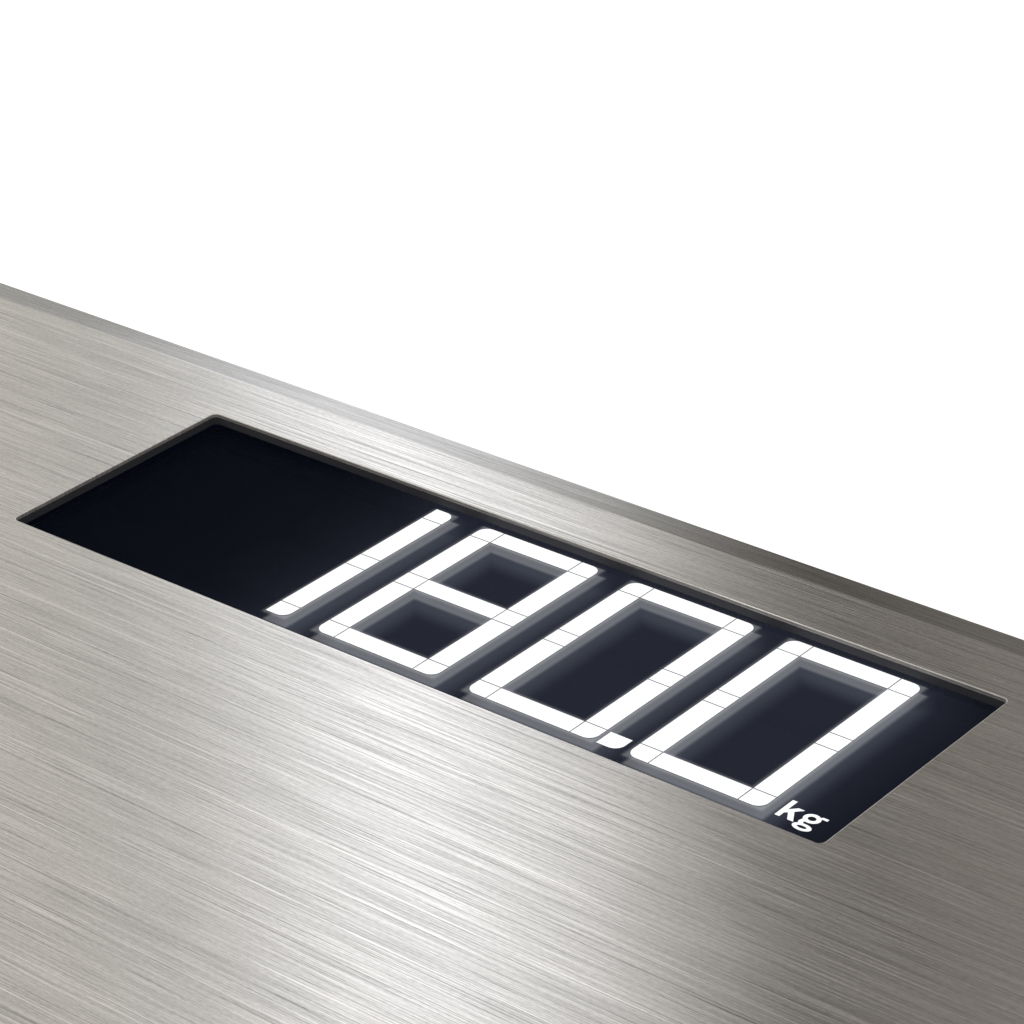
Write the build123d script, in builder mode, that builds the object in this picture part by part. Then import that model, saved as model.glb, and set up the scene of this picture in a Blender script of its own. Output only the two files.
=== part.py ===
from build123d import *
import os
from math import atan2, cos, degrees, radians, sin, tan

# Digital bathroom scale: a square brushed-steel platform on a plastic chassis, with a
# recessed, backlit liquid crystal display near its far edge, four load cells with
# rubber feet, and three AAA cells under a hinged door.
#
# Millimetres. +Z is up, +Y points away from the user (the display end) and +X to the
# user's right. The origin is on the floor, under the middle of the platform.

os.makedirs("parts", exist_ok=True)

# ---------------------------------------------------------------- driving dimensions
platform_side = 300.0
overall_height = 22.0
corner_radius = 9.0
sheet = 0.5                     # steel thickness
bevel_run = 5.6                 # the sloped border, seen from above
bevel_drop = 1.35
top_bend_radius = 1.5
edge_bend_radius = 1.0
skirt_bottom = 8.6

window_width = 120.0
window_depth = 35.6
window_radius = 0.8
window_to_far_edge = 14.3
window_lip_radius = 0.12
recess_depth = 1.5              # platform top to glass

front_glass = 0.6
rear_glass = 1.1
cell_space = 0.1                # between the display's two panes
segment_thickness = 0.08
polariser = 0.1
digit_width = 18.3
digit_height = 31.0
digit_pitch = 22.82
digit_count = 4
stroke_across = 3.15            # width of the upright strokes
stroke_along = 2.8              # width of the level strokes
stroke_corner = 1.35
cell_gap = 0.14                 # dark line between neighbouring cells of a digit
first_digit_inset = 22.5        # window's left end to the first digit
digit_foot_inset = 4.4          # window's near side to the foot of the digits
dot_gap = 0.45

base_bottom = 4.0
base_floor = 2.0
base_wall = 2.0
base_rim_top = 13.0
carrier_bottom = 9.0
deck_thickness = 2.4
adhesive = 0.2

foot_offset = 118.0             # each foot from the middle, along X and Y
cell_side = 34.0
cell_plate = 1.8

battery_radius = 5.25
battery_length = 44.5
bay_centre = (0.0, 40.0)

board = 1.2                     # circuit board thickness
button_centre = (56.0, 34.0)

# ------------------------------------------------------------------- derived heights
half = platform_side / 2
steel_under = overall_height - sheet
glass_top = overall_height - recess_depth
front_glass_under = glass_top - front_glass
segment_under = front_glass_under - cell_space
deck_top = steel_under - adhesive
deck_under = deck_top - deck_thickness
floor_top = base_bottom + base_floor

window_far = half - window_to_far_edge
window_near = window_far - window_depth
window_centre = (0.0, (window_far + window_near) / 2)

foot_spots = {
    "front_left": (-foot_offset, -foot_offset),
    "front_right": (foot_offset, -foot_offset),
    "rear_left": (-foot_offset, foot_offset),
    "rear_right": (foot_offset, foot_offset),
}
base_screw_spots = [
    (-120, 0),
    (120, 0),
    (0, -120),
    (-78, 118),
    (78, 118),
    (-45, -45),
    (45, -45),
    (0, 75),
]


def at(spot, height):
    """A level plane at this height, with its origin over the spot."""
    return Plane((spot[0], spot[1], height))


# -------------------------------------------------------------------- platform cover
# The pressed sheet is a flat middle with a rim round it. The rim's profile is a closed
# line: flat, sloped border, upright skirt, and back along the inside of the sheet.
bevel_angle = atan2(bevel_drop, bevel_run)
rim_start = half - corner_radius
flat_end = half - bevel_run
inner_flat_end = flat_end - sheet * tan(bevel_angle / 2)
bevel_foot = overall_height - bevel_drop
inner_bevel_foot = bevel_foot - sheet * (1 / cos(bevel_angle) - tan(bevel_angle))

rim_points = [
    (rim_start, overall_height),
    (flat_end, overall_height),
    (half, bevel_foot),
    (half, skirt_bottom),
    (half - sheet, skirt_bottom),
    (half - sheet, inner_bevel_foot),
    (inner_flat_end, steel_under),
    (rim_start, steel_under),
]
rim_radii = [
    0,
    top_bend_radius,
    edge_bend_radius,
    0,
    0,
    edge_bend_radius - sheet,
    top_bend_radius - sheet,
    0,
]

with BuildPart() as rim_quarter:
    with BuildSketch(Plane.XZ):
        with BuildLine():
            FilletPolyline(rim_points, radius=rim_radii, close=True)
        make_face()
    extrude(amount=rim_start, both=True)
    with BuildSketch(Plane.XZ.offset(-rim_start)):
        with BuildLine():
            FilletPolyline(rim_points, radius=rim_radii, close=True)
        make_face()
    corner_axis = Axis((rim_start, rim_start, 0), (0, 0, 1))
    revolve(axis=corner_axis, revolution_arc=90)

with BuildPart() as platform_cover:
    with BuildSketch(Plane.XY.offset(steel_under)):
        Rectangle(2 * rim_start, 2 * rim_start)
    extrude(amount=sheet)
    with PolarLocations(0, 4):
        add(rim_quarter.part)
    with BuildSketch(at(window_centre, steel_under)):
        RectangleRounded(window_width, window_depth, window_radius)
    extrude(amount=sheet, mode=Mode.SUBTRACT)
    top_face = platform_cover.faces().sort_by(Axis.Z)[-1]
    fillet(top_face.inner_wires()[0].edges(), window_lip_radius)
platform_cover.part.label = "platform_cover"
export_step(platform_cover.part, "parts/platform_cover.step")

# --------------------------------------------------------------------- carrier frame
# A ribbed plastic tray, upside down, that stiffens the steel and holds everything else.
carrier_half = half - 3.4
carrier_radius = corner_radius - 3.4
rim_thickness = 2.2
rib_pitch = 36.0
rib_bottom = 12.5
rib_thickness = 1.6
ring_outer = cell_side + 8
ring_inner = cell_side - 6
ear_offset = 23.5
cell_under = carrier_bottom
cell_top = cell_under + cell_plate
display_opening = (129.0, 45.0)
bay_inner = (52.6, 34.6)
bay_wall = 2.0
bay_roof_under = 16.6
bay_outer = (bay_inner[0] + 2 * bay_wall, bay_inner[1] + 2 * bay_wall)
board_size = (50.0, 44.0)
board_centre = (59.0, 40.0)
pilot_radius = 1.55
retainer_pilot_radius = 1.05

with BuildPart() as carrier_frame:
    with BuildSketch(Plane.XY.offset(carrier_bottom)):
        RectangleRounded(2 * carrier_half, 2 * carrier_half, carrier_radius)
    extrude(amount=deck_top - carrier_bottom)
    # The deck's border slopes, to lie under the steel's own slope.
    deck_face = carrier_frame.faces().sort_by(Axis.Z)[-1]
    chamfer(deck_face.edges(), 3.4, 1.0, reference=deck_face)
    with BuildSketch(Plane.XY.offset(carrier_bottom)):
        inner_half = carrier_half - rim_thickness
        RectangleRounded(2 * inner_half, 2 * inner_half, carrier_radius - rim_thickness)
    extrude(amount=deck_under - carrier_bottom, mode=Mode.SUBTRACT)
    # ribs
    with BuildSketch(Plane.XY.offset(rib_bottom)):
        with GridLocations(rib_pitch, 0, 7, 1):
            Rectangle(rib_thickness, 2 * inner_half)
        with GridLocations(0, rib_pitch, 1, 7):
            Rectangle(2 * inner_half, rib_thickness)
    extrude(amount=deck_under - rib_bottom)
    # room for the battery bay, the main board and the display
    with BuildSketch(Plane.XY.offset(carrier_bottom)):
        with Locations(bay_centre):
            Rectangle(bay_outer[0] + 2, bay_outer[1] + 2)
        with Locations(board_centre):
            Rectangle(board_size[0] + 4, board_size[1] + 4)
        with Locations(window_centre):
            Rectangle(display_opening[0] + 4, display_opening[1] + 4)
    extrude(amount=deck_under - carrier_bottom, mode=Mode.SUBTRACT)
    # a wall round the display opening
    with BuildSketch(at(window_centre, rib_bottom)):
        Rectangle(display_opening[0] + 4, display_opening[1] + 4)
        Rectangle(*display_opening, mode=Mode.SUBTRACT)
    extrude(amount=deck_under - rib_bottom)
    with BuildSketch(at(window_centre, deck_under)):
        Rectangle(*display_opening)
    extrude(amount=deck_thickness, mode=Mode.SUBTRACT)
    # load cell pockets, each with two ears for the retainer's screws
    with BuildSketch(Plane.XY.offset(carrier_bottom)):
        with GridLocations(2 * foot_offset, 2 * foot_offset, 2, 2):
            RectangleRounded(ring_outer, ring_outer, 3)
            with GridLocations(2 * ear_offset, 0, 2, 1):
                Circle(3.5)
    extrude(amount=deck_under - carrier_bottom)
    with BuildSketch(Plane.XY.offset(carrier_bottom)):
        with GridLocations(2 * foot_offset, 2 * foot_offset, 2, 2):
            RectangleRounded(cell_side + 0.6, cell_side + 0.6, 2)
    extrude(amount=cell_plate, mode=Mode.SUBTRACT)
    with BuildSketch(Plane.XY.offset(cell_top)):
        with GridLocations(2 * foot_offset, 2 * foot_offset, 2, 2):
            RectangleRounded(ring_inner, ring_inner, 2)
    extrude(amount=deck_under - cell_top, mode=Mode.SUBTRACT)
    with BuildSketch(Plane.XY.offset(carrier_bottom)):
        with GridLocations(2 * foot_offset, 2 * foot_offset, 2, 2):
            with GridLocations(2 * ear_offset, 0, 2, 1):
                Circle(retainer_pilot_radius)
    extrude(amount=6, mode=Mode.SUBTRACT)
    # a notch in each pocket's wall, towards the middle, for the cell's cable
    for spot in foot_spots.values():
        inward = -1 if spot[1] > 0 else 1
        notch_centre = (spot[0], spot[1] + inward * (ring_inner + ring_outer) / 4)
        with BuildSketch(at(notch_centre, cell_top)):
            Rectangle(4, (ring_outer - ring_inner) / 2 + 2)
        extrude(amount=2.8, mode=Mode.SUBTRACT)
    # screw bosses
    with BuildSketch(Plane.XY.offset(floor_top + 2)):
        with Locations(*base_screw_spots):
            Circle(4)
    extrude(amount=deck_under - floor_top - 2)
    with BuildSketch(Plane.XY.offset(floor_top + 2)):
        with Locations(*base_screw_spots):
            Circle(pilot_radius)
    extrude(amount=9, mode=Mode.SUBTRACT)
carrier_frame.part.label = "carrier_frame"
export_step(carrier_frame.part, "parts/carrier_frame.step")

# ------------------------------------------------------------------- adhesive strips
with BuildPart() as adhesive_strips:
    with BuildSketch(Plane.XY.offset(deck_top)):
        with GridLocations(0, 44, 1, 5):
            with Locations((0, -46)):
                Rectangle(260, 12)
        with Locations((-105, window_centre[1]), (105, window_centre[1])):
            Rectangle(60, 12)
    extrude(amount=adhesive)
adhesive_strips.part.label = "adhesive_strips"
export_step(adhesive_strips.part, "parts/adhesive_strips.step")

# ------------------------------------------------------------------------ base cover
base_half = half - 0.3
base_shoulder = skirt_bottom - 0.3
rim_half = half - sheet - 0.3
rim_inner_half = rim_half - base_wall
foot_hole_radius = 13.9
column_radius = 5.0
post_radius = 3.0
post_spots = [
    (board_centre[0] + x * (board_size[0] / 2 - 4), board_centre[1] + y * (board_size[1] / 2 - 4))
    for x in (-1, 1)
    for y in (-1, 1)
]
board_under = 12.8
button_hole_radius = 4.3
hinge_y = bay_centre[1] + bay_inner[1] / 2 - 1.8
hinge_z = 5.5
pin_radius = 1.0
battery_centre_z = 11.05
battery_rows = [bay_centre[1] + row * 10.7 for row in (-1, 0, 1)]

with BuildPart() as base_cover:
    with BuildSketch(Plane.XY.offset(base_bottom)):
        RectangleRounded(2 * base_half, 2 * base_half, corner_radius - 0.3)
    extrude(amount=base_shoulder - base_bottom)
    fillet(base_cover.faces().sort_by(Axis.Z)[0].edges(), 2.6)
    with BuildSketch(Plane.XY.offset(base_shoulder)):
        RectangleRounded(2 * rim_half, 2 * rim_half, corner_radius - 0.8)
    extrude(amount=base_rim_top - base_shoulder)
    with BuildSketch(Plane.XY.offset(floor_top)):
        RectangleRounded(2 * rim_inner_half, 2 * rim_inner_half, corner_radius - 2.8)
    extrude(amount=base_rim_top - floor_top, mode=Mode.SUBTRACT)
    # battery bay
    with BuildSketch(at(bay_centre, floor_top)):
        Rectangle(*bay_outer)
    extrude(amount=bay_roof_under + 1.4 - floor_top)
    with BuildSketch(at(bay_centre, base_bottom)):
        Rectangle(*bay_inner)
    extrude(amount=bay_roof_under - base_bottom, mode=Mode.SUBTRACT)
    # ridges between the cells, hanging from the bay's roof
    with BuildSketch(at(bay_centre, 14.2)):
        with GridLocations(24, 10.7, 2, 2):
            Rectangle(10, 1.2)
    extrude(amount=bay_roof_under - 14.2)
    # bearing holes for the door's pins
    with BuildSketch(Plane.YZ.offset(bay_centre[0])):
        with Locations((hinge_y, hinge_z)):
            Circle(pin_radius + 0.05)
    extrude(amount=bay_inner[0] / 2 + bay_wall, both=True, mode=Mode.SUBTRACT)
    # slots in the bay's right wall for the two lead tabs
    with BuildSketch(Plane.YZ.offset(bay_centre[0] + bay_inner[0] / 2)):
        with Locations((battery_rows[0], 12.5), (battery_rows[2], 12.5)):
            Rectangle(2.4, 0.8)
    extrude(amount=bay_wall, mode=Mode.SUBTRACT)
    # fingertip scoop at the door's near edge
    with BuildSketch(Plane.XY.offset(base_bottom)):
        with Locations((bay_centre[0], bay_centre[1] - bay_inner[1] / 2)):
            Circle(9)
        with Locations((bay_centre[0], bay_centre[1] - bay_inner[1] / 2 + 10)):
            Rectangle(24, 20, mode=Mode.SUBTRACT)
    extrude(amount=1.2, mode=Mode.SUBTRACT)
    # foot holes, each in a guard ring
    with BuildSketch(Plane.XY.offset(floor_top)):
        with GridLocations(2 * foot_offset, 2 * foot_offset, 2, 2):
            Circle(21.5)
            Circle(20, mode=Mode.SUBTRACT)
    extrude(amount=1.6)
    with BuildSketch(Plane.XY.offset(base_bottom)):
        with GridLocations(2 * foot_offset, 2 * foot_offset, 2, 2):
            Circle(foot_hole_radius)
    extrude(amount=base_floor, mode=Mode.SUBTRACT)
    # screw columns, with the heads sunk in from below
    with BuildSketch(Plane.XY.offset(floor_top)):
        with Locations(*base_screw_spots):
            Circle(column_radius)
    extrude(amount=1.9)
    with BuildSketch(Plane.XY.offset(base_bottom)):
        with Locations(*base_screw_spots):
            Circle(3.4)
    extrude(amount=2.4, mode=Mode.SUBTRACT)
    with BuildSketch(Plane.XY.offset(base_bottom)):
        with Locations(*base_screw_spots):
            Circle(1.7)
    extrude(amount=6, mode=Mode.SUBTRACT)
    # posts for the main board
    with BuildSketch(Plane.XY.offset(floor_top)):
        with Locations(*post_spots):
            Circle(post_radius)
    extrude(amount=board_under - floor_top)
    with BuildSketch(Plane.XY.offset(board_under - 5)):
        with Locations(*post_spots):
            Circle(0.95)
    extrude(amount=5, mode=Mode.SUBTRACT)
    # the unit button's hole and guide
    with BuildSketch(at(button_centre, floor_top)):
        Circle(7.2)
        Circle(5.7, mode=Mode.SUBTRACT)
    extrude(amount=2.4)
    with BuildSketch(at(button_centre, base_bottom)):
        Circle(button_hole_radius)
    extrude(amount=base_floor, mode=Mode.SUBTRACT)
base_cover.part.label = "base_cover"
export_step(base_cover.part, "parts/base_cover.step")

# ----------------------------------------------------------------------- base screws
with BuildPart() as base_screws:
    with BuildSketch(Plane.XY.offset(base_bottom + 0.6)):
        with Locations(*base_screw_spots):
            Circle(3.0)
    extrude(amount=1.8)
    with BuildSketch(Plane.XY.offset(base_bottom + 2.4)):
        with Locations(*base_screw_spots):
            Circle(1.5)
    extrude(amount=10.4)
    with BuildSketch(Plane.XY.offset(base_bottom + 0.6)):
        with Locations(*base_screw_spots):
            Rectangle(3.6, 0.8)
            Rectangle(0.8, 3.6)
    extrude(amount=0.9, mode=Mode.SUBTRACT)
base_screws.part.label = "base_screws"
export_step(base_screws.part, "parts/base_screws.step")

# --------------------------------------------------------------- load cells and feet
# The foot's dome bears on the tongue in the middle of the cell; the cell's frame bears
# on the carrier. The tongue's root is on the side facing the middle of the platform.
tongue_width = 12.0
slot = 2.0
slot_span = tongue_width + 2 * slot
tongue_tip = 8.0
slot_root = -12.0
coat_size = (9.0, 6.0, 0.8)

for place, spot in foot_spots.items():
    name = f"load_cell_{place}"
    outward = 1 if spot[1] > 0 else -1
    with BuildPart() as load_cell:
        with BuildSketch(at(spot, cell_under)):
            RectangleRounded(cell_side, cell_side, 3)
            slot_length = tongue_tip + slot - slot_root
            with Locations((0, outward * (slot_root + slot_length / 2))):
                Rectangle(slot_span, slot_length, mode=Mode.SUBTRACT)
            with Locations((0, outward * (slot_root + tongue_tip) / 2)):
                Rectangle(tongue_width, tongue_tip - slot_root)
        extrude(amount=cell_plate)
    load_cell.part.label = name
    export_step(load_cell.part, f"parts/{name}.step")

with BuildPart() as gauge_coats:
    for spot in foot_spots.values():
        outward = 1 if spot[1] > 0 else -1
        with BuildSketch(at((spot[0], spot[1] - outward * 10), cell_top)):
            RectangleRounded(coat_size[0], coat_size[1], 1.5)
        extrude(amount=coat_size[2])
gauge_coats.part.label = "gauge_coats"
export_step(gauge_coats.part, "parts/gauge_coats.step")

retainer_thickness = 0.8
with BuildPart() as cell_retainers:
    with BuildSketch(Plane.XY.offset(cell_under - retainer_thickness)):
        with GridLocations(2 * foot_offset, 2 * foot_offset, 2, 2):
            RectangleRounded(ring_outer - 1, ring_outer - 1, 3)
            with GridLocations(2 * ear_offset, 0, 2, 1):
                Circle(3.3)
            RectangleRounded(ring_inner, ring_inner, 3, mode=Mode.SUBTRACT)
            with GridLocations(2 * ear_offset, 0, 2, 1):
                Circle(1.3, mode=Mode.SUBTRACT)
    extrude(amount=retainer_thickness)
cell_retainers.part.label = "cell_retainers"
export_step(cell_retainers.part, "parts/cell_retainers.step")

with BuildPart() as retainer_screws:
    with BuildSketch(Plane.XY.offset(cell_under - retainer_thickness - 1.2)):
        with GridLocations(2 * foot_offset, 2 * foot_offset, 2, 2):
            with GridLocations(2 * ear_offset, 0, 2, 1):
                Circle(2.0)
    extrude(amount=1.2)
    with BuildSketch(Plane.XY.offset(cell_under - retainer_thickness)):
        with GridLocations(2 * foot_offset, 2 * foot_offset, 2, 2):
            with GridLocations(2 * ear_offset, 0, 2, 1):
                Circle(1.0)
    extrude(amount=6)
retainer_screws.part.label = "retainer_screws"
export_step(retainer_screws.part, "parts/retainer_screws.step")

cup_radius = 13.3
cup_bottom = 2.0
flange_radius = 15.5
flange_bottom = floor_top + 0.3
flange_top = flange_bottom + 1.2
socket_radius = 11.4
socket_depth = 1.6
dome_radius = 5.0

for place, spot in foot_spots.items():
    cup_name = f"foot_cup_{place}"
    with BuildPart() as foot_cup:
        with BuildSketch(at(spot, cup_bottom)):
            Circle(cup_radius)
        extrude(amount=flange_bottom - cup_bottom)
        with BuildSketch(at(spot, flange_bottom)):
            Circle(flange_radius)
        extrude(amount=flange_top - flange_bottom)
        with BuildSketch(at(spot, flange_top)):
            Circle(dome_radius)
        extrude(amount=cell_under - flange_top)
        fillet(foot_cup.faces().sort_by(Axis.Z)[-1].edges(), 0.8)
        with BuildSketch(at(spot, cup_bottom)):
            Circle(socket_radius)
        extrude(amount=socket_depth, mode=Mode.SUBTRACT)
    foot_cup.part.label = cup_name
    export_step(foot_cup.part, f"parts/{cup_name}.step")

    pad_name = f"foot_pad_{place}"
    with BuildPart() as foot_pad:
        with BuildSketch(at(spot, 0)):
            Circle(cup_radius - 0.3)
        extrude(amount=cup_bottom)
        fillet(foot_pad.faces().sort_by(Axis.Z)[0].edges(), 0.7)
        with BuildSketch(at(spot, cup_bottom)):
            Circle(socket_radius)
        extrude(amount=socket_depth)
        with BuildSketch(at(spot, 0)):
            for groove in (4.5, 8.0):
                Circle(groove + 0.6)
                Circle(groove, mode=Mode.SUBTRACT)
        extrude(amount=0.6, mode=Mode.SUBTRACT)
    foot_pad.part.label = pad_name
    export_step(foot_pad.part, f"parts/{pad_name}.step")

# --------------------------------------------------------------------- display bezel
bezel_size = (128.0, 43.6)
rebate_size = (123.0, 40.6)
module_under = 12.0             # underside of the bezel and of the backlight
gasket = 0.3

with BuildPart() as display_bezel:
    with BuildSketch(at(window_centre, module_under)):
        RectangleRounded(*bezel_size, 2)
    extrude(amount=steel_under - gasket - module_under)
    # a raised edge, flush with the window, that meets the steel
    with BuildSketch(at(window_centre, steel_under - gasket)):
        RectangleRounded(window_width + 2.4, window_depth + 2.4, window_radius + 1.2)
    extrude(amount=gasket)
    with BuildSketch(at(window_centre, module_under)):
        RectangleRounded(window_width, window_depth, window_radius)
    extrude(amount=steel_under - module_under, mode=Mode.SUBTRACT)
    with BuildSketch(at(window_centre, module_under)):
        RectangleRounded(*rebate_size, 1.5)
    extrude(amount=glass_top - module_under, mode=Mode.SUBTRACT)
display_bezel.part.label = "display_bezel"
export_step(display_bezel.part, "parts/display_bezel.step")

with BuildPart() as display_gasket:
    with BuildSketch(at(window_centre, steel_under - gasket)):
        RectangleRounded(bezel_size[0] - 1, bezel_size[1] - 1, 2)
        RectangleRounded(window_width + 3, window_depth + 3, 2, mode=Mode.SUBTRACT)
    extrude(amount=gasket)
display_gasket.part.label = "display_gasket"
export_step(display_gasket.part, "parts/display_gasket.step")

# ------------------------------------------------------------------ digits and icons
# Each digit is thirteen cells: four corners, two side junctions, four upright bars and
# three level bars. A cell is (left, bottom, right, top) in the digit's own frame.
window_left = window_centre[0] - window_width / 2
digit_foot = window_near + digit_foot_inset
middle_low = (digit_height - stroke_along) / 2
middle_high = middle_low + stroke_along
columns = {"left": (0, stroke_across), "right": (digit_width - stroke_across, digit_width)}
rows = {
    "bottom": (0, stroke_along),
    "middle": (middle_low, middle_high),
    "top": (digit_height - stroke_along, digit_height),
}
digit_cells = {}
for side, (left, right) in columns.items():
    for row, (low, high) in rows.items():
        digit_cells[f"{row}_{side}"] = (left, low, right, high)
    digit_cells[f"lower_{side}"] = (left, stroke_along, right, middle_low)
    digit_cells[f"upper_{side}"] = (left, middle_high, right, digit_height - stroke_along)
for row, (low, high) in rows.items():
    digit_cells[row] = (stroke_across, low, digit_width - stroke_across, high)

unlit_by_digit = [
    [name for name in digit_cells if not name.endswith("right")],
    [],
    ["middle"],
    ["middle"],
]
rounded_corners = {
    "top_left": (-1, 1),
    "top_right": (1, 1),
    "bottom_left": (-1, -1),
    "bottom_right": (1, -1),
}


def digit_left(index):
    """X of the left side of a digit."""
    return window_left + first_digit_inset + index * digit_pitch


def cell_outline(index, name):
    """One cell of one digit as a face on the level plane, less half of the gap."""
    left, low, right, high = digit_cells[name]
    x = digit_left(index) + (left + right) / 2
    y = digit_foot + (low + high) / 2
    with BuildSketch(Plane((x, y, 0)), mode=Mode.PRIVATE) as outline:
        Rectangle(right - left - cell_gap, high - low - cell_gap)
        if name in rounded_corners:
            across, along = rounded_corners[name]
            corner = outline.vertices().sort_by(lambda v: v.X * across + v.Y * along)[-1]
            fillet(corner, stroke_corner)
    return outline.sketch


lit_cells = []
unlit_cells = []
for index in range(digit_count):
    for name in digit_cells:
        chosen = unlit_cells if name in unlit_by_digit[index] else lit_cells
        chosen.append((index, name))

dot_left = digit_left(2) + digit_width + dot_gap
dot_centre = (dot_left + stroke_across / 2, digit_foot + stroke_along / 2)
icon_left = window_left + 110.9
icon_height = 3.4
icon_stroke = 0.62
lb_foot = digit_foot + 7.5


def kg_outline():
    """The letters k and g, on the digits' foot line."""
    with BuildSketch(Plane((icon_left, digit_foot, 0)), mode=Mode.PRIVATE) as outline:
        # k
        with Locations((icon_stroke / 2, icon_height / 2)):
            Rectangle(icon_stroke, icon_height)
        with BuildLine():
            Polyline((0.5, 0.78), (0.5, 1.5), (1.42, 2.45), (2.25, 2.45), (1.05, 1.22), close=True)
        make_face()
        with BuildLine():
            Polyline((0.86, 1.3), (1.38, 1.72), (2.42, 0), (1.66, 0), close=True)
        make_face()
        # g: bowl, ear, link and lower loop
        with Locations((3.72, 1.62)):
            Ellipse(1.05, 0.88)
        with BuildLine():
            Polyline((4.3, 2.12), (4.55, 2.5), (5.3, 2.5), (5.3, 2.12), close=True)
        make_face()
        with BuildLine():
            Polyline(
                [(2.85, 1.05), (2.72, 0.55), (2.95, 0.05), (3.5, 0.2), (3.3, 0.62), (3.5, 0.95)],
                close=True,
            )
        make_face()
        with Locations((3.72, -0.28)):
            Ellipse(1.18, 0.66)
            Ellipse(0.6, 0.24, mode=Mode.SUBTRACT)
        with Locations((3.72, 1.62)):
            Ellipse(0.5, 0.4, mode=Mode.SUBTRACT)
    return outline.sketch


def lb_outline():
    """The letters l and b, above the kg icon."""
    with BuildSketch(Plane((icon_left, lb_foot, 0)), mode=Mode.PRIVATE) as outline:
        with Locations((icon_stroke / 2, icon_height / 2), (1.5, icon_height / 2)):
            Rectangle(icon_stroke, icon_height)
        with Locations((2.35, 1.12)):
            Circle(1.12)
            Circle(0.52, mode=Mode.SUBTRACT)
    return outline.sketch


# ---------------------------------------------------------------------- display cell
# Two panes of glass with the segments between them. The rear pane stops short of the
# far side, where the pins reach the underside of the front pane.
front_size = (122.8, 40.4)
glass_corner = 1.4
pin_ledge = 0.9
rear_size = (front_size[0], front_size[1] - pin_ledge)
rear_centre = (window_centre[0], window_centre[1] - pin_ledge / 2)
rear_top = segment_under
rear_under = rear_top - rear_glass

with BuildPart() as lcd_front_glass:
    with BuildSketch(at(window_centre, front_glass_under)):
        RectangleRounded(*front_size, glass_corner)
    extrude(amount=front_glass)
lcd_front_glass.part.label = "lcd_front_glass"
export_step(lcd_front_glass.part, "parts/lcd_front_glass.step")

with BuildPart() as segments_lit:
    with BuildSketch(Plane.XY.offset(segment_under)):
        for index, name in lit_cells:
            add(cell_outline(index, name))
    extrude(amount=segment_thickness)
segments_lit.part.label = "segments_lit"
export_step(segments_lit.part, "parts/segments_lit.step")

with BuildPart() as segments_unlit:
    with BuildSketch(Plane.XY.offset(segment_under)):
        for index, name in unlit_cells:
            add(cell_outline(index, name))
    extrude(amount=segment_thickness)
segments_unlit.part.label = "segments_unlit"
export_step(segments_unlit.part, "parts/segments_unlit.step")

# The decimal point is a block whose lower right corner is rounded.
with BuildPart() as decimal_point:
    with BuildSketch(at(dot_centre, segment_under)) as dot_face:
        Rectangle(stroke_across - cell_gap, stroke_along - cell_gap)
        corner = dot_face.vertices().sort_by(lambda v: v.X - v.Y)[-1]
        fillet(corner, stroke_corner)
    extrude(amount=segment_thickness)
decimal_point.part.label = "decimal_point"
export_step(decimal_point.part, "parts/decimal_point.step")

with BuildPart() as unit_icon_kg:
    with BuildSketch(Plane.XY.offset(segment_under)):
        add(kg_outline())
    extrude(amount=segment_thickness)
unit_icon_kg.part.label = "unit_icon_kg"
export_step(unit_icon_kg.part, "parts/unit_icon_kg.step")

with BuildPart() as unit_icon_lb:
    with BuildSketch(Plane.XY.offset(segment_under)):
        add(lb_outline())
    extrude(amount=segment_thickness)
unit_icon_lb.part.label = "unit_icon_lb"
export_step(unit_icon_lb.part, "parts/unit_icon_lb.step")

with BuildPart() as lcd_rear_glass:
    with BuildSketch(at(rear_centre, rear_under)):
        RectangleRounded(*rear_size, glass_corner)
    extrude(amount=rear_glass)
lcd_rear_glass.part.label = "lcd_rear_glass"
export_step(lcd_rear_glass.part, "parts/lcd_rear_glass.step")

# A dark border between the panes seals them and hides what lies outside the window. It
# ends just short of the pins.
border_clear = (window_width - 0.2, window_depth - 0.2)
border_overhang = 0.15

with BuildPart() as glass_border:
    with BuildSketch(at(rear_centre, segment_under)):
        RectangleRounded(*rear_size, glass_corner)
        with Locations((0, border_overhang / 2)):
            Rectangle(rear_size[0] - 2 * glass_corner, rear_size[1] + border_overhang)
        with Locations((0, pin_ledge / 2)):
            Rectangle(*border_clear, mode=Mode.SUBTRACT)
    extrude(amount=cell_space)
glass_border.part.label = "glass_border"
export_step(glass_border.part, "parts/glass_border.step")

pin_count = 28
pin_pitch = 4.0
pin_radius = 0.25
pin_y = window_centre[1] + front_size[1] / 2 - pin_ledge / 2

with BuildPart() as lcd_pins:
    with BuildSketch(at((window_centre[0], pin_y), module_under)):
        with GridLocations(pin_pitch, 0, pin_count, 1):
            Circle(pin_radius)
    extrude(amount=front_glass_under - module_under)
lcd_pins.part.label = "lcd_pins"
export_step(lcd_pins.part, "parts/lcd_pins.step")

# ------------------------------------------------------------------------- backlight
# A white tray holds a clear light guide. LEDs stand in notches in the guide's ends,
# in slots through the tray's floor, and a dark polariser lies on the guide.
spacer = 1.7                    # the backlight stands this far below the rear pane
tray_top = rear_under - spacer
guide_top = tray_top - polariser
guide_thickness = 3.0
tray_floor_top = guide_top - guide_thickness
tray_size = (rear_size[0] - 0.2, rear_size[1] - 0.2)
pocket_size = (tray_size[0] - 2.6, tray_size[1] - 1.8)
guide_size = (pocket_size[0] - 0.4, pocket_size[1] - 0.2)
led_size = (1.6, 3.2, 4.2)
led_inset = 1.0                 # the guide's end to an LED's centre
led_rows = 3
led_pitch = 12.0
led_clearance = 0.4
led_columns = guide_size[0] - 2 * led_inset
mount_screw_spots = [(-54, 13), (-54, -13), (56.5, 14), (56.5, 4.5)]
pilot_depth = 1.7
mount_pilot_radius = 0.85
mount_shank_radius = 0.8
mount_head_radius = 1.7

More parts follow.
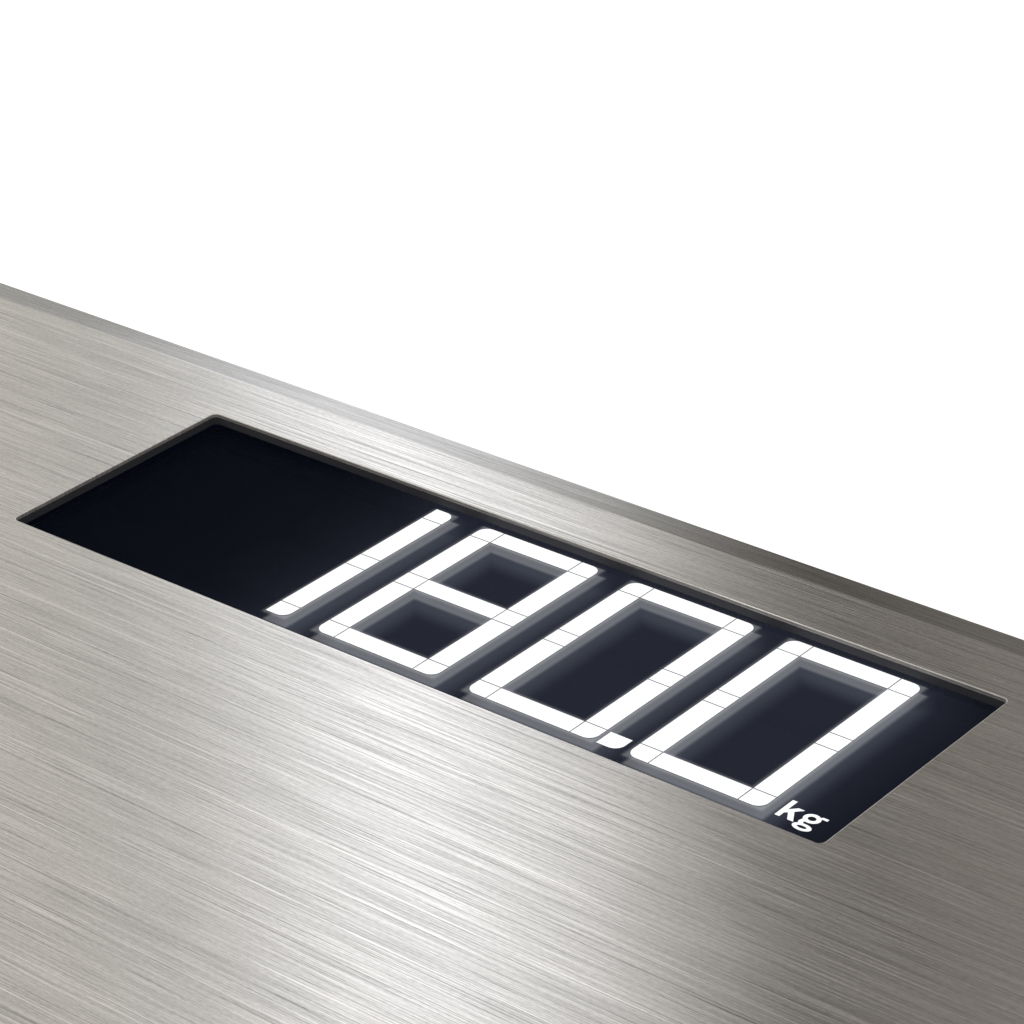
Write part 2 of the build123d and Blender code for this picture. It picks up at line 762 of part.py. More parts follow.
with BuildPart() as backlight_spacer:
    with BuildSketch(at(rear_centre, tray_top)):
        RectangleRounded(*tray_size, glass_corner)
        Rectangle(guide_size[0] - 1.2, guide_size[1] - 1.0, mode=Mode.SUBTRACT)
    extrude(amount=spacer)
backlight_spacer.part.label = "backlight_spacer"
export_step(backlight_spacer.part, "parts/backlight_spacer.step")

with BuildPart() as rear_polariser:
    with BuildSketch(at(rear_centre, guide_top)):
        Rectangle(*guide_size)
    extrude(amount=polariser)
rear_polariser.part.label = "rear_polariser"
export_step(rear_polariser.part, "parts/rear_polariser.step")

with BuildPart() as light_guide:
    with BuildSketch(at(rear_centre, tray_floor_top)):
        Rectangle(*guide_size)
        with GridLocations(led_columns, led_pitch, 2, led_rows):
            Rectangle(2 * led_inset + led_clearance, led_size[1] + led_clearance, mode=Mode.SUBTRACT)
    extrude(amount=guide_thickness)
light_guide.part.label = "light_guide"
export_step(light_guide.part, "parts/light_guide.step")

with BuildPart() as backlight_leds:
    with BuildSketch(at(rear_centre, module_under)):
        with GridLocations(led_columns, led_pitch, 2, led_rows):
            Rectangle(led_size[0], led_size[1])
    extrude(amount=led_size[2])
backlight_leds.part.label = "backlight_leds"
export_step(backlight_leds.part, "parts/backlight_leds.step")

with BuildPart() as backlight_tray:
    with BuildSketch(at(rear_centre, module_under)):
        RectangleRounded(*tray_size, glass_corner)
    extrude(amount=tray_top - module_under)
    with BuildSketch(at(rear_centre, tray_floor_top)):
        Rectangle(*pocket_size)
    extrude(amount=tray_top - tray_floor_top, mode=Mode.SUBTRACT)
    with BuildSketch(at(rear_centre, module_under)):
        with GridLocations(led_columns, led_pitch, 2, led_rows):
            Rectangle(led_size[0] + led_clearance, led_size[1] + led_clearance)
    extrude(amount=tray_floor_top - module_under, mode=Mode.SUBTRACT)
    with BuildSketch(at(window_centre, module_under)):
        with Locations(*mount_screw_spots):
            Circle(mount_pilot_radius)
    extrude(amount=pilot_depth, mode=Mode.SUBTRACT)
backlight_tray.part.label = "backlight_tray"
export_step(backlight_tray.part, "parts/backlight_tray.step")

# --------------------------------------------------------------------- display board
display_board_under = module_under - board

with BuildPart() as display_board:
    with BuildSketch(at(window_centre, display_board_under)):
        RectangleRounded(126, 42, 1)
        with Locations(*mount_screw_spots):
            Circle(1.1, mode=Mode.SUBTRACT)
    extrude(amount=board)
display_board.part.label = "display_board"
export_step(display_board.part, "parts/display_board.step")

with BuildPart() as display_screws:
    with BuildSketch(at(window_centre, display_board_under - 1)):
        with Locations(*mount_screw_spots):
            Circle(mount_head_radius)
    extrude(amount=1)
    with BuildSketch(at(window_centre, display_board_under)):
        with Locations(*mount_screw_spots):
            Circle(mount_shank_radius)
    extrude(amount=board + pilot_depth - 0.2)
display_screws.part.label = "display_screws"
export_step(display_screws.part, "parts/display_screws.step")

with BuildPart() as display_driver:
    with BuildSketch(at((window_centre[0] - 20, window_centre[1]), display_board_under - 1.6)):
        Rectangle(18, 7.5)
    extrude(amount=1.6)
    chamfer(display_driver.faces().sort_by(Axis.Z)[0].edges(), 0.3)
display_driver.part.label = "display_driver"
export_step(display_driver.part, "parts/display_driver.step")

# ------------------------------------------------------------------------ main board
ribbon_x = 50.0
ribbon_z = 8.0
ribbon_size = (10.0, 0.6)
header_size = (14.0, 4.0)
display_header_y = window_centre[1] - 16
main_header_y = board_centre[1] + board_size[1] / 2 - 8

with BuildPart() as main_board:
    with BuildSketch(at(board_centre, board_under)):
        RectangleRounded(*board_size, 1)
    extrude(amount=board)
    with BuildSketch(Plane.XY.offset(board_under)):
        with Locations(*post_spots):
            Circle(1.2)
    extrude(amount=board, mode=Mode.SUBTRACT)
main_board.part.label = "main_board"
export_step(main_board.part, "parts/main_board.step")

with BuildPart() as board_screws:
    with BuildSketch(Plane.XY.offset(board_under + board)):
        with Locations(*post_spots):
            Circle(1.9)
    extrude(amount=1.2)
    with BuildSketch(Plane.XY.offset(board_under - 4)):
        with Locations(*post_spots):
            Circle(0.9)
    extrude(amount=4 + board)
board_screws.part.label = "board_screws"
export_step(board_screws.part, "parts/board_screws.step")

with BuildPart() as controller_chips:
    with BuildSketch(Plane.XY.offset(board_under + board)):
        with Locations((board_centre[0] - 6, board_centre[1] + 4)):
            Rectangle(10, 10)
        with Locations((board_centre[0] + 12, board_centre[1] - 6)):
            Rectangle(5, 10)
    extrude(amount=1.4)
    chamfer(controller_chips.faces().group_by(Axis.Z)[-1].edges(), 0.3)
controller_chips.part.label = "controller_chips"
export_step(controller_chips.part, "parts/controller_chips.step")

with BuildPart() as ribbon_headers:
    with BuildSketch(at((ribbon_x, display_header_y), ribbon_z - 0.4)):
        Rectangle(*header_size)
    extrude(amount=display_board_under - ribbon_z + 0.4)
    with BuildSketch(at((ribbon_x, main_header_y), ribbon_z - 0.4)):
        Rectangle(*header_size)
    extrude(amount=board_under - ribbon_z + 0.4)
ribbon_headers.part.label = "ribbon_headers"
export_step(ribbon_headers.part, "parts/ribbon_headers.step")

ribbon_start = main_header_y + header_size[1] / 2
ribbon_end = display_header_y - header_size[1] / 2
with BuildPart() as display_ribbon:
    with BuildSketch(Plane((ribbon_x, ribbon_start, ribbon_z), x_dir=(1, 0, 0), z_dir=(0, 1, 0))):
        Rectangle(*ribbon_size)
    extrude(amount=ribbon_end - ribbon_start)
display_ribbon.part.label = "display_ribbon"
export_step(display_ribbon.part, "parts/display_ribbon.step")

# -------------------------------------------------------- load cell cables and plugs
plug_size = (6.0, 4.0, 3.0)
plug_spots = {
    "rear_left": 46.0,
    "front_left": 54.5,
    "front_right": 63.0,
    "rear_right": 71.5,
}
plug_y = board_centre[1] - board_size[1] / 2 + plug_size[1] / 2
plug_z = board_under - plug_size[2] / 2
cable_radius = 0.8
cable_exit_z = cell_top + 0.9
cable_low_z = 8.2

with BuildPart() as cell_plugs:
    with BuildSketch(Plane.XY.offset(board_under - plug_size[2])):
        with Locations(*[(x, plug_y) for x in plug_spots.values()]):
            Rectangle(plug_size[0], plug_size[1])
    extrude(amount=plug_size[2])
cell_plugs.part.label = "cell_plugs"
export_step(cell_plugs.part, "parts/cell_plugs.step")

# Points between the pocket's notch and the run up to the plug, chosen by hand.
cable_ways = {
    "rear_left": [(-112, 60), (-88, 5), (-40, -12), (10, -14)],
    "front_left": [(-100, -84), (-60, -72), (-10, -62), (30, -44)],
    "front_right": [(112, -76), (90, -44)],
    "rear_right": [(114, 60), (104, 12), (92, -8)],
}
plug_face = plug_y - plug_size[1] / 2

for place, spot in foot_spots.items():
    name = f"cell_cable_{place}"
    inward = -1 if spot[1] > 0 else 1
    plug_x = plug_spots[place]
    route = [(spot[0], spot[1] + inward * 13.1, cable_exit_z)]
    route.append((spot[0], spot[1] + inward * 24, cable_exit_z))
    route.append((spot[0], spot[1] + inward * 34, cable_low_z))
    route += [(x, y, cable_low_z) for x, y in cable_ways[place]]
    route.append((plug_x, plug_face - 28, cable_low_z))
    route.append((plug_x, plug_face - 8, plug_z))
    route.append((plug_x, plug_face, plug_z))
    bends = []
    for before, here, after in zip(route, route[1:], route[2:]):
        run_in = Vector(*here) - Vector(*before)
        run_out = Vector(*after) - Vector(*here)
        half_turn = radians(run_in.get_angle(run_out)) / 2
        bends.append(0.45 * min(run_in.length, run_out.length) / tan(half_turn))
    print(name, "bend radii", [round(bend, 1) for bend in bends])
    with BuildPart() as cell_cable:
        with BuildLine() as path:
            FilletPolyline(route, radius=bends)
        with BuildSketch(Plane(route[0], z_dir=(0, inward, 0))):
            Circle(cable_radius)
        sweep()
    length = sum(edge.length for edge in path.edges())
    print(name, "length", round(length, 1), "volume", round(cell_cable.part.volume, 1))
    cell_cable.part.label = name
    export_step(cell_cable.part, f"parts/{name}.step")

# ------------------------------------------------------------- batteries and contacts
nub_length = 1.0
nub_radius = 1.9
contact_z = battery_centre_z
contact_plate = 0.4
bay_end = bay_inner[0] / 2

for number, row in enumerate(battery_rows, start=1):
    name = f"battery_{number}"
    facing = 1 if number % 2 else -1
    body_middle = bay_centre[0] - facing * nub_length / 2
    with BuildPart() as battery:
        with BuildSketch(Plane.YZ.offset(body_middle)):
            with Locations((row, battery_centre_z)):
                Circle(battery_radius)
        extrude(amount=(battery_length - nub_length) / 2, both=True)
        fillet(battery.edges().filter_by(GeomType.CIRCLE), 0.5)
        nub_start = body_middle + facing * (battery_length - nub_length) / 2
        with BuildSketch(Plane((nub_start, row, battery_centre_z), z_dir=(facing, 0, 0))):
            Circle(nub_radius)
        extrude(amount=nub_length)
    battery.part.label = name
    export_step(battery.part, f"parts/{name}.step")

# A contact is a plate on the bay's end wall with a bent leaf that presses on the cell.
leaf = 0.3
with BuildPart() as battery_contacts:
    for side in (-1, 1):
        for row in battery_rows:
            wall_x = bay_centre[0] + side * bay_end
            with BuildSketch(Plane((wall_x, row, contact_z), z_dir=(-side, 0, 0))):
                Rectangle(7, 8)
            extrude(amount=contact_plate)
            plate_x = wall_x - side * contact_plate
            touch_x = bay_centre[0] + side * battery_length / 2
            with BuildSketch(Plane.XZ.offset(-row)):
                with BuildLine():
                    Polyline(
                        (plate_x, contact_z - 3.5),
                        (touch_x, contact_z - 0.6),
                        (touch_x, contact_z + 0.6),
                        (plate_x, contact_z + 3.5),
                        (plate_x, contact_z + 3.5 - 1.3 * leaf),
                        (touch_x + side * leaf, contact_z + 0.5),
                        (touch_x + side * leaf, contact_z - 0.5),
                        (plate_x, contact_z - 3.5 + 1.3 * leaf),
                        close=True,
                    )
                make_face()
            extrude(amount=2, both=True)
    # two tabs through the right wall, for the leads
    for row in (battery_rows[0], battery_rows[2]):
        with BuildSketch(Plane.YZ.offset(bay_centre[0] + bay_end)):
            with Locations((row, 12.5)):
                Rectangle(2, contact_plate)
        extrude(amount=bay_wall + 2)
battery_contacts.part.label = "battery_contacts"
export_step(battery_contacts.part, "parts/battery_contacts.step")

tab_end = bay_centre[0] + bay_end + bay_wall + 2
for name, row in (("battery_lead_red", battery_rows[0]), ("battery_lead_black", battery_rows[2])):
    with BuildPart() as battery_lead:
        with BuildLine():
            FilletPolyline(
                (tab_end, row, 12.5),
                (tab_end + 3, row, 12.0),
                (tab_end + 7, row, board_under),
                radius=4,
            )
        with BuildSketch(Plane((tab_end, row, 12.5), z_dir=(3, 0, -0.5))):
            Circle(0.6)
        sweep()
        # the soldered end is trimmed level with the board
        with BuildSketch(Plane.XY.offset(board_under)):
            with Locations((tab_end + 7, row)):
                Rectangle(8, 8)
        extrude(amount=3, mode=Mode.SUBTRACT)
    battery_lead.part.label = name
    export_step(battery_lead.part, f"parts/{name}.step")

# ---------------------------------------------------------------------- battery door
door_gap = 0.3
door_thickness = 1.5
door_half = bay_inner[0] / 2 - door_gap
door_near = bay_centre[1] - bay_inner[1] / 2 + door_gap
with BuildPart() as battery_door:
    with BuildSketch(Plane.XY.offset(base_bottom)):
        with Locations((bay_centre[0], (door_near + hinge_y) / 2)):
            Rectangle(2 * door_half, hinge_y - door_near)
    extrude(amount=door_thickness)
    with BuildSketch(Plane.YZ.offset(bay_centre[0])):
        with Locations((hinge_y, hinge_z)):
            Circle(door_thickness)
    extrude(amount=door_half, both=True)
    with BuildSketch(Plane.YZ.offset(bay_centre[0])):
        with Locations((hinge_y, hinge_z)):
            Circle(pin_radius)
    extrude(amount=door_half + bay_wall, both=True)
    # a springy tongue with a small ridge that grips the bay's near wall
    with BuildSketch(Plane.XY.offset(base_bottom + door_thickness)):
        with Locations((bay_centre[0], door_near + 0.5)):
            Rectangle(12, 1)
    extrude(amount=2.9)
    with BuildSketch(Plane.YZ.offset(bay_centre[0])):
        with Locations((door_near, 7.6)):
            Rectangle(0.4, 0.8)
    extrude(amount=5, both=True)
    # grip grooves on the outside
    with BuildSketch(Plane.XY.offset(base_bottom)):
        with Locations((bay_centre[0], door_near + 6)):
            with GridLocations(0, 1.6, 1, 4):
                Rectangle(14, 0.7)
    extrude(amount=0.4, mode=Mode.SUBTRACT)
battery_door.part.label = "battery_door"
export_step(battery_door.part, "parts/battery_door.step")

# ----------------------------------------------------------------------- unit button
button_radius = button_hole_radius - 0.3
button_flange_radius = 5.3
button_flange_bottom = floor_top + 0.2
switch_under = 9.8
plunger_under = 9.1

with BuildPart() as unit_button:
    with BuildSketch(at(button_centre, base_bottom)):
        Circle(button_radius)
    extrude(amount=button_flange_bottom - base_bottom)
    fillet(unit_button.faces().sort_by(Axis.Z)[0].edges(), 0.4)
    with BuildSketch(at(button_centre, button_flange_bottom)):
        Circle(button_flange_radius)
    extrude(amount=0.9)
    with BuildSketch(at(button_centre, button_flange_bottom + 0.9)):
        Circle(2)
    extrude(amount=plunger_under - button_flange_bottom - 0.9)
unit_button.part.label = "unit_button"
export_step(unit_button.part, "parts/unit_button.step")

with BuildPart() as switch_body:
    with BuildSketch(at(button_centre, switch_under)):
        RectangleRounded(6, 6, 0.5)
        Circle(1.95, mode=Mode.SUBTRACT)
    extrude(amount=2)
    with BuildSketch(at(button_centre, switch_under + 2)):
        RectangleRounded(6, 6, 0.5)
    extrude(amount=board_under - switch_under - 2)
switch_body.part.label = "switch_body"
export_step(switch_body.part, "parts/switch_body.step")

with BuildPart() as switch_plunger:
    with BuildSketch(at(button_centre, plunger_under)):
        Circle(1.65)
    extrude(amount=switch_under + 1.2 - plunger_under)
switch_plunger.part.label = "switch_plunger"
export_step(switch_plunger.part, "parts/switch_plunger.step")

# ---------------------------------------------------------------------- rating label
with BuildPart() as rating_label:
    with BuildSketch(at((0, -75), base_bottom - 0.1)):
        RectangleRounded(56, 30, 2)
    extrude(amount=0.1)
rating_label.part.label = "rating_label"
export_step(rating_label.part, "parts/rating_label.step")
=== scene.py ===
from math import cos, pi, radians, sin

import bpy
from mathutils import Matrix, Vector


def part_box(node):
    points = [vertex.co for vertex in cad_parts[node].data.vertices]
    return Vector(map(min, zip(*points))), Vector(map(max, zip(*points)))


# Looks, light and camera for a digital bathroom scale with a brushed steel platform.
# Every shape is the CAD's own. Lengths are in metres in the row's frame: +Z up, +Y away
# from the user towards the display, the origin on the floor under the platform's middle.

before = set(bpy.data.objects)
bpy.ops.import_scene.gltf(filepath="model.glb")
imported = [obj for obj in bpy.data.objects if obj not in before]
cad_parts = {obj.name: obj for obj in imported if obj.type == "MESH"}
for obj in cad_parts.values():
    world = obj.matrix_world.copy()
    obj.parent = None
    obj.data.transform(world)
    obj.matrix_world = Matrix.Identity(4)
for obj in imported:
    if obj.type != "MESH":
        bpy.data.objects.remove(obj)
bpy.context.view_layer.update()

MM = 0.001


# ------------------------------------------------------------------------ node helpers
class Tree:
    """Adds nodes to one node tree. An input's value is a number, a tuple or a socket."""

    def __init__(self, owner):
        owner.use_nodes = True
        self.tree = owner.node_tree
        self.tree.nodes.clear()

    def add(self, kind, values=(), **settings):
        node = self.tree.nodes.new("ShaderNode" + kind)
        for name, setting in settings.items():
            setattr(node, name, setting)
        for key, value in dict(values).items():
            self.set(node.inputs[key], value)
        return node

    def set(self, socket, value):
        if isinstance(value, bpy.types.NodeSocket):
            self.tree.links.new(value, socket)
        elif isinstance(value, (tuple, list)) and len(value) == 3 and socket.type == "RGBA":
            socket.default_value = (*value, 1)
        else:
            socket.default_value = value

    def math(self, operation, a, b=0.0):
        node = self.add("Math", operation=operation)
        for socket, value in zip(node.inputs, (a, b)):
            self.set(socket, value)
        return node.outputs[0]

    def ramp_between(self, value, low, high, to_low=0.0, to_high=1.0, smooth=True):
        kind = "SMOOTHSTEP" if smooth else "LINEAR"
        node = self.add("MapRange", interpolation_type=kind)
        for socket, number in zip(node.inputs, (value, low, high, to_low, to_high)):
            self.set(socket, number)
        return node.outputs[0]

    def ramp(self, value, stops):
        """Colour by value, from (position, colour) stops."""
        node = self.add("ValToRGB", {"Fac": value})
        node.color_ramp.interpolation = "LINEAR"
        elements = node.color_ramp.elements
        while len(elements) < len(stops):
            elements.new(0.5)
        for element, (position, colour) in zip(elements, stops):
            element.position = position
            element.color = (*colour, 1)
        return node.outputs["Color"]

    def noise(self, vector, scale=1.0, detail=2.0, roughness=0.5):
        values = {"Vector": vector, "Scale": scale, "Detail": detail, "Roughness": roughness}
        return self.add("TexNoise", values).outputs[0]

    def stretched(self, vector, lengths):
        """The vector measured in these lengths along X, Y and Z."""
        scale = tuple(1 / length for length in lengths)
        return self.add("Mapping", {"Vector": vector, "Scale": scale}).outputs[0]

    def mix(self, factor, a, b, blend="MIX"):
        node = self.add("Mix", data_type="RGBA", blend_type=blend)
        for socket, value in zip((node.inputs[0], node.inputs[6], node.inputs[7]), (factor, a, b)):
            self.set(socket, value)
        return node.outputs[2]

    def tinted(self, colour, strength):
        """A colour multiplied by a grey strength."""
        grey = self.add("CombineXYZ", dict(X=strength, Y=strength, Z=strength)).outputs[0]
        return self.mix(1.0, colour, grey, "MULTIPLY")

    def bump(self, height, distance):
        values = {"Height": height, "Distance": distance, "Strength": 1.0}
        return self.add("Bump", values).outputs[0]


def shader_for(slot):
    """A new tree in the slot's material, its Principled shader and the place it shades."""
    tree = Tree(bpy.data.materials[slot])
    shader = tree.add("BsdfPrincipled")
    output = tree.add("OutputMaterial")
    tree.set(output.inputs["Surface"], shader.outputs[0])
    place = tree.add("TexCoord").outputs["Object"]
    return tree, shader, place


# --------------------------------------------------------------------------- materials
def moulded(slot, colour, roughness, grain=0.35 * MM, depth=0.012 * MM, specular=0.5):
    """Moulded plastic or rubber: a fine grain, and colour and gloss that drift a little."""
    tree, shader, place = shader_for(slot)
    fine = tree.noise(tree.stretched(place, (grain,) * 3), detail=3.0)
    drift = tree.noise(tree.stretched(place, (14 * MM,) * 3), detail=2.0)
    tone = tree.ramp_between(drift, 0.3, 0.7, 0.93, 1.05)
    tone = tree.math("ADD", tone, tree.math("MULTIPLY", fine, 0.04))
    tree.set(shader.inputs["Base Color"], tree.tinted(colour, tone))
    gloss = tree.ramp_between(drift, 0.3, 0.7, roughness - 0.04, roughness + 0.04)
    tree.set(shader.inputs["Roughness"], gloss)
    tree.set(shader.inputs["Specular IOR Level"], specular)
    tree.set(shader.inputs["Normal"], tree.bump(fine, depth))


def plated(slot, colour, roughness, grain=(3 * MM, 0.4 * MM, 0.4 * MM)):
    """Plated or stamped metal with faint marks."""
    tree, shader, place = shader_for(slot)
    marks = tree.noise(tree.stretched(place, grain), detail=3.0)
    tone = tree.ramp_between(marks, 0.3, 0.7, 0.88, 1.06)
    tree.set(shader.inputs["Base Color"], tree.tinted(colour, tone))
    gloss = tree.ramp_between(marks, 0.3, 0.7, roughness - 0.05, roughness + 0.07)
    tree.set(shader.inputs["Roughness"], gloss)
    tree.set(shader.inputs["Metallic"], 1.0)
    tree.set(shader.inputs["Normal"], tree.bump(marks, 0.004 * MM))


STEEL = (0.62, 0.589, 0.549)
STEEL_ROUGHNESS = 0.17
CUT_EDGE_ROUGHNESS = 0.6


def brushed_steel():
    """Steel brushed along X. On the skirts at the two ends, the lines run down."""
    tree, shader, place = shader_for("brushed_steel")
    x, y, z = tree.add("SeparateXYZ", {"Vector": place}).outputs
    normal = tree.add("TexCoord").outputs["Normal"]
    sideways, _, upwards = tree.add("SeparateXYZ", {"Vector": normal}).outputs
    at_end = tree.math("GREATER_THAN", tree.math("ABSOLUTE", sideways), 0.6)
    turned = tree.add("CombineXYZ", dict(X=z, Y=y, Z=x)).outputs[0]
    along = tree.add("Mix", data_type="VECTOR")
    tree.set(along.inputs[0], at_end)
    tree.set(along.inputs[4], place)
    tree.set(along.inputs[5], turned)
    grain = along.outputs[1]

    # the streaks, from the longest and widest to the shortest
    wide = tree.noise(tree.stretched(grain, (60 * MM, 0.40 * MM, 0.40 * MM)), detail=1.0)
    middle = tree.noise(tree.stretched(grain, (22 * MM, 0.20 * MM, 0.20 * MM)), detail=1.0)
    fine = tree.noise(tree.stretched(grain, (6 * MM, 0.14 * MM, 0.14 * MM)), detail=0.0)
    short = tree.noise(tree.stretched(grain, (0.8 * MM, 0.20 * MM, 0.20 * MM)), detail=0.0)
    broad = tree.noise(tree.stretched(grain, (45 * MM, 4 * MM, 4 * MM)), detail=2.0)
    lines = 0.0
    for layer, weight in ((wide, 0.27), (middle, 0.33), (fine, 0.22), (short, 0.18)):
        lines = tree.math("ADD", lines, tree.math("MULTIPLY", layer, weight))

    tone = tree.ramp_between(lines, 0.30, 0.70, 0.67, 1.33, smooth=False)
    tone = tree.math("MULTIPLY", tone, tree.ramp_between(broad, 0.3, 0.7, 0.965, 1.035))
    # scratches, each a dark or a bright hair
    for length, width in ((38 * MM, 0.17 * MM), (14 * MM, 0.14 * MM)):
        hair = tree.noise(tree.stretched(grain, (length, width, width)), detail=0.0)
        tone = tree.math("SUBTRACT", tone, tree.ramp_between(hair, 0.29, 0.20, 0.0, 0.34))
        tone = tree.math("ADD", tone, tree.ramp_between(hair, 0.71, 0.80, 0.0, 0.34))
    tree.set(shader.inputs["Base Color"], tree.tinted(STEEL, tone))

    # the punched edge of the window is rough
    low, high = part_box("display_bezel")
    cut = tree.math("LESS_THAN", upwards, 0.97)
    for value, lowest, highest in ((x, low[0], high[0]), (y, low[1], high[1])):
        cut = tree.math("MULTIPLY", cut, tree.math("GREATER_THAN", value, lowest))
        cut = tree.math("MULTIPLY", cut, tree.math("LESS_THAN", value, highest))
    gloss = tree.ramp_between(middle, 0.3, 0.7, STEEL_ROUGHNESS + 0.04, STEEL_ROUGHNESS - 0.04)
    gloss = tree.math("MAXIMUM", gloss, tree.math("MULTIPLY", cut, CUT_EDGE_ROUGHNESS))
    tree.set(shader.inputs["Roughness"], gloss)
    tree.set(shader.inputs["Metallic"], 1.0)
    tree.set(shader.inputs["Normal"], tree.bump(lines, 0.0012 * MM))


# ----------------------------------------------------------------------------- display
# The digits' strokes, as in the CAD. Colours are emitted light: the strokes' own, and a painted glow
# on the dark ground round them.
WINDOW_LEFT = -60 * MM
DIGIT_FOOT = 104.5 * MM
DIGIT_LEFT = WINDOW_LEFT + 22.5 * MM
DIGIT_PITCH = 22.82 * MM
DIGIT_WIDTH = 18.3 * MM
DIGIT_HEIGHT = 31 * MM
STROKE_ACROSS = 3.15 * MM
STROKE_ALONG = 2.8 * MM
DARK_GROUND_GLOW = (0.0010, 0.0016, 0.0042)
HAZE_GLOW = (0.0170, 0.0187, 0.0285)
HAZE_GLOW_REACH = 8 * MM
GLOW = (0.0335, 0.0380, 0.0450)
PAINTED_BLEED = 0.13
GLASS_ALPHA = 0.03


def lit_strokes():
    """Each lit digit's strokes, as (left, bottom, right, top)."""
    digits = []
    for index, shown in enumerate("1800"):
        left = DIGIT_LEFT + index * DIGIT_PITCH
        right = left + DIGIT_WIDTH
        top = DIGIT_FOOT + DIGIT_HEIGHT
        strokes = [(right - STROKE_ACROSS, DIGIT_FOOT, right, top)]
        levels = []
        if shown != "1":
            strokes.append((left, DIGIT_FOOT, left + STROKE_ACROSS, top))
            levels = [DIGIT_FOOT, top - STROKE_ALONG]
        if shown == "8":
            levels.append((DIGIT_FOOT + top - STROKE_ALONG) / 2)
        for level in levels:
            strokes.append((left, level, right, level + STROKE_ALONG))
        digits.append(strokes)
    return digits


def stroke_light(tree, x, y, inside, outside):
    """1 under the lit strokes, falling smoothly to 0 from inside their edges to outside."""

    def within(value, low, high):
        off = tree.math("ABSOLUTE", tree.math("SUBTRACT", value, (low + high) / 2))
        half = (high - low) / 2
        return tree.ramp_between(off, half - inside, half + outside, 1.0, 0.0)

    light = 0.0
    for strokes in lit_strokes():
        digit = 0.0
        for left, low, right, top in strokes:
            patch = tree.math("MULTIPLY", within(x, left, right), within(y, low, top))
            digit = tree.math("MAXIMUM", digit, patch)
        light = tree.math("ADD", light, digit)
    return light


def painted_haze(tree, x):
    """The ground's painted glow: dim emitted light round all of the digits that dies away at either
    side, over a dark emitted ground.
    """
    digits_left = DIGIT_LEFT + DIGIT_WIDTH - STROKE_ACROSS
    digits_right = DIGIT_LEFT + 3 * DIGIT_PITCH + DIGIT_WIDTH
    before = tree.math("MAXIMUM", tree.math("SUBTRACT", digits_left, x), 0.0)
    beyond = tree.math("MAXIMUM", tree.math("SUBTRACT", x, digits_right), 0.0)
    away = tree.math("DIVIDE", tree.math("ADD", before, beyond), -HAZE_GLOW_REACH)
    return tree.mix(1.0, DARK_GROUND_GLOW, tree.tinted(HAZE_GLOW, tree.math("EXPONENT", away)), "ADD")


def display_black():
    """The near-black film behind the display. Its blue-black and the light that the strokes spill on
    it are a painted glow.
    """
    tree, shader, place = shader_for("display_black")
    x, y, _ = tree.add("SeparateXYZ", {"Vector": place}).outputs
    glow = tree.tinted(GLOW, stroke_light(tree, x, y, 1.5 * MM, 1.9 * MM))
    tree.set(shader.inputs["Base Color"], (0.001, 0.001, 0.0015))
    tree.set(shader.inputs["Emission Color"], tree.mix(1.0, painted_haze(tree, x), glow, "ADD"))
    tree.set(shader.inputs["Emission Strength"], 1.0)
    tree.set(shader.inputs["Roughness"], 0.5)
    tree.set(shader.inputs["Specular IOR Level"], 0.0)


def border_seal():
    """The border between the panes, as dark as the ground beside it and glowing with the same
    painted light.
    """
    tree, shader, place = shader_for("border_seal")
    x = tree.add("SeparateXYZ", {"Vector": place}).outputs[0]
    tree.set(shader.inputs["Base Color"], (0.001, 0.001, 0.0015))
    tree.set(shader.inputs["Emission Color"], painted_haze(tree, x))
    tree.set(shader.inputs["Emission Strength"], 1.0)
    tree.set(shader.inputs["Roughness"], 0.5)
    tree.set(shader.inputs["Specular IOR Level"], 0.0)


def display_glass():
    """Clear glass. A painted glow, emitted by the rear pane's top, stands for the strokes' light
    spilling a little way into it.
    """
    tree, shader, place = shader_for("display_glass")
    x, y, z = tree.add("SeparateXYZ", {"Vector": place}).outputs
    cloud = tree.noise(tree.stretched(place, (25 * MM,) * 3), detail=1.0)
    tone = tree.ramp_between(cloud, 0.3, 0.7, 0.95, 1.05)
    painted_bleed = tree.math("POWER", stroke_light(tree, x, y, 0.1 * MM, 0.8 * MM), 2.0)
    at_strokes = tree.math("LESS_THAN", z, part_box("lcd_rear_glass")[1][2] + 0.02 * MM)
    painted_bleed = tree.math("MULTIPLY", painted_bleed, at_strokes)
    tree.set(shader.inputs["Base Color"], tree.tinted((0.02, 0.022, 0.03), tone))
    tree.set(shader.inputs["Emission Color"], tree.tinted((0.95, 0.97, 1.0), painted_bleed))
    tree.set(shader.inputs["Emission Strength"], PAINTED_BLEED / GLASS_ALPHA)
    tree.set(shader.inputs["Alpha"], GLASS_ALPHA)
    tree.set(shader.inputs["Roughness"], 0.05)
    tree.set(shader.inputs["Specular IOR Level"], 0.008)


def lit_segment():
    """A clear segment with the white light behind it."""
    tree, shader, place = shader_for("lit_segment")
    soft = tree.noise(tree.stretched(place, (9 * MM,) * 3), detail=1.0)
    colour = tree.mix(soft, (0.97, 0.985, 1.0), (1.0, 1.0, 1.0))
    # the upright faces aren't lit, so the gaps between the cells stay dark
    normal = tree.add("TexCoord").outputs["Normal"]
    upwards = tree.add("SeparateXYZ", {"Vector": normal}).outputs[2]
    lit = tree.math("GREATER_THAN", tree.math("ABSOLUTE", upwards), 0.5)
    tree.set(shader.inputs["Base Color"], (0.05, 0.05, 0.055))
    tree.set(shader.inputs["Emission Color"], tree.tinted(colour, lit))
    tree.set(shader.inputs["Emission Strength"], 1.15)
    tree.set(shader.inputs["Specular IOR Level"], 0.0)
    tree.set(shader.inputs["Roughness"], 0.5)


